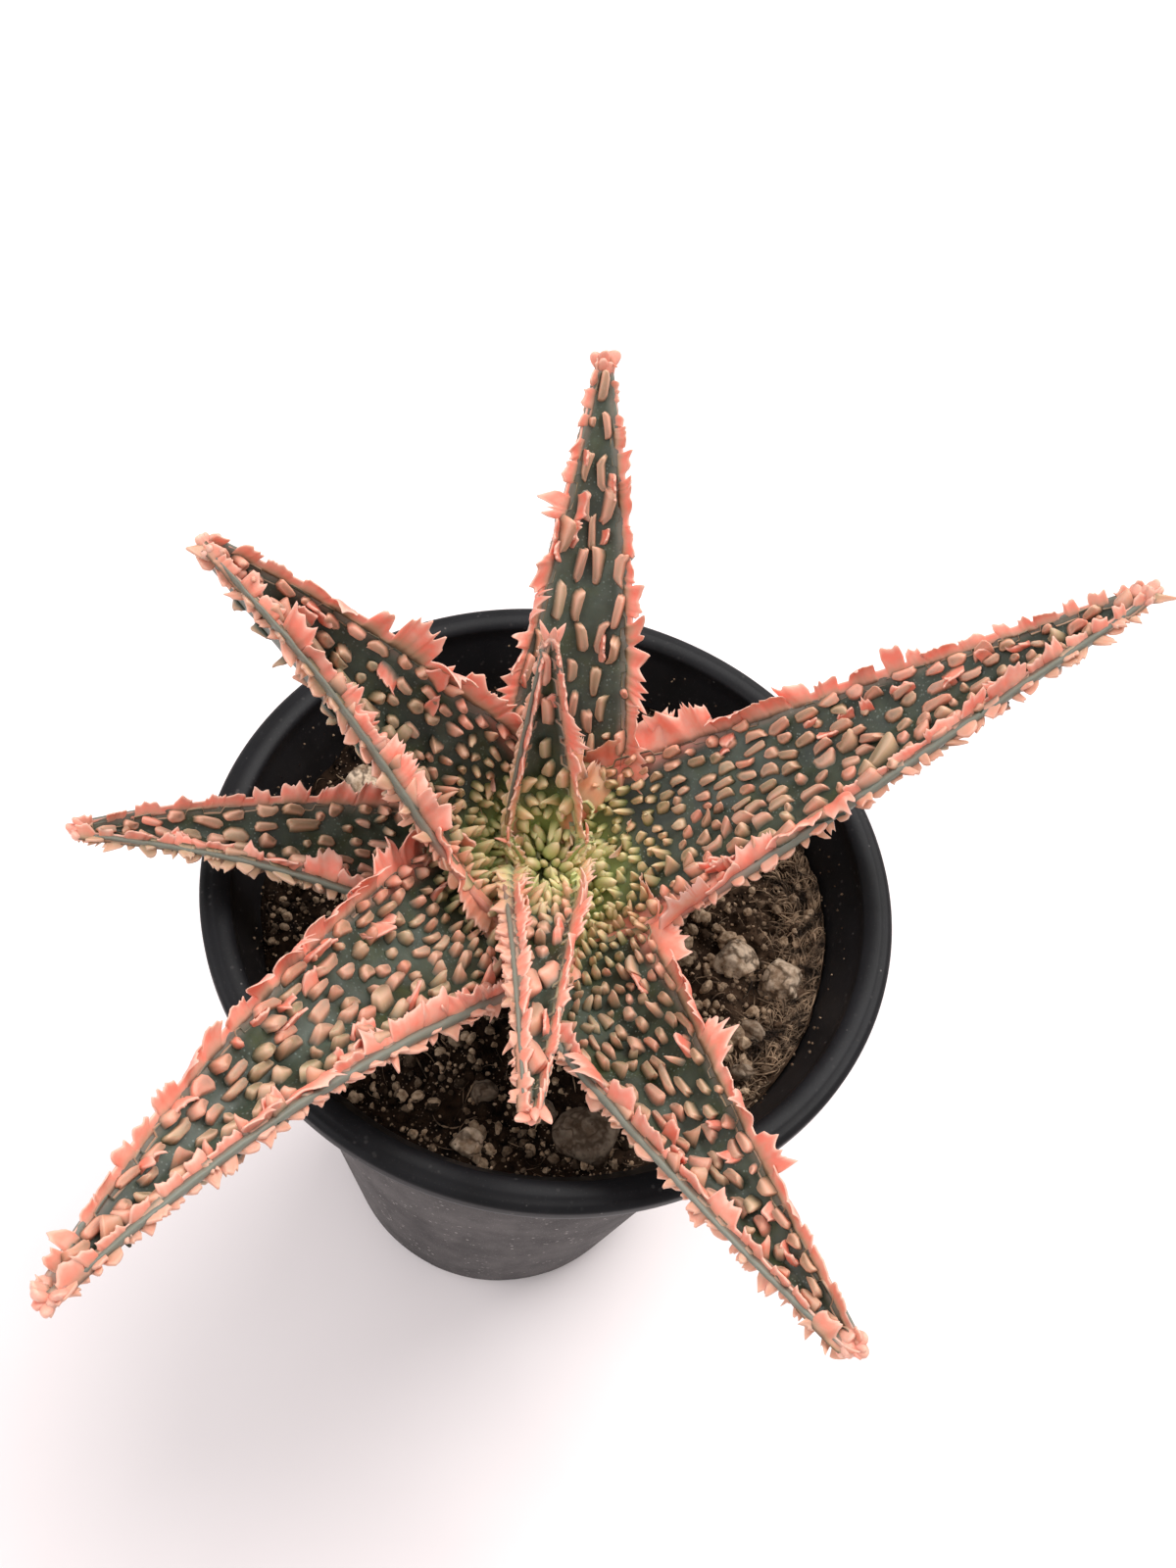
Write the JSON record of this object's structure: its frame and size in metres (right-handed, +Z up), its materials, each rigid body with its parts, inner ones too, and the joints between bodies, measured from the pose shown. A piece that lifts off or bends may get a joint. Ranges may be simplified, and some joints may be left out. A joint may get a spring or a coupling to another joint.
{
  "type": "potted aloe",
  "caption": "Small star-shaped aloe with pegged, toothed leaves, rooted in gritty soil in a tapered round nursery pot.",
  "frame": {"origin": "centre of the pot's flat base, on the surface that it stands on", "axes": "+Z up; -Y towards the viewer in the picture; +X to the viewer's right"},
  "size_m": [0.1294, 0.1317, 0.1464],
  "materials": {
    "pot_plastic": "black moulded plastic, bluish at the rim, dusty grey with pale specks outside",
    "soil_mix": "dark crumbly potting mix with pale grit and brown fibres",
    "leaf_green": null,
    "stem_green": "pale green plant tissue, mostly hidden",
    "pumice": "rough pale stone with soil in its pores"
  },
  "bodies": {
    "root": {"pot": "pot_plastic", "soil": "soil_mix", "stem": "stem_green", "leaf_back": "leaf_green", "leaf_right": "leaf_green", "leaf_lower_right": "leaf_green", "leaf_lower_left": "leaf_green", "leaf_left": "leaf_green", "leaf_upper_left": "leaf_green", "leaf_young_upright": "leaf_green", "leaf_young_front": "leaf_green", "heart_leaf_left": "leaf_green", "heart_leaf_right": "leaf_green", "stone_pumice_inner": "pumice", "stone_pumice_outer": "pumice", "stone_large": "pumice", "stone_beside_large": "pumice", "stone_pale_front": "pumice", "stone_brown_front": "pumice", "stone_beige_back": "pumice", "stone_small_right": "pumice", "stone_small_near_wall": "pumice"}
  },
  "joints": []
}
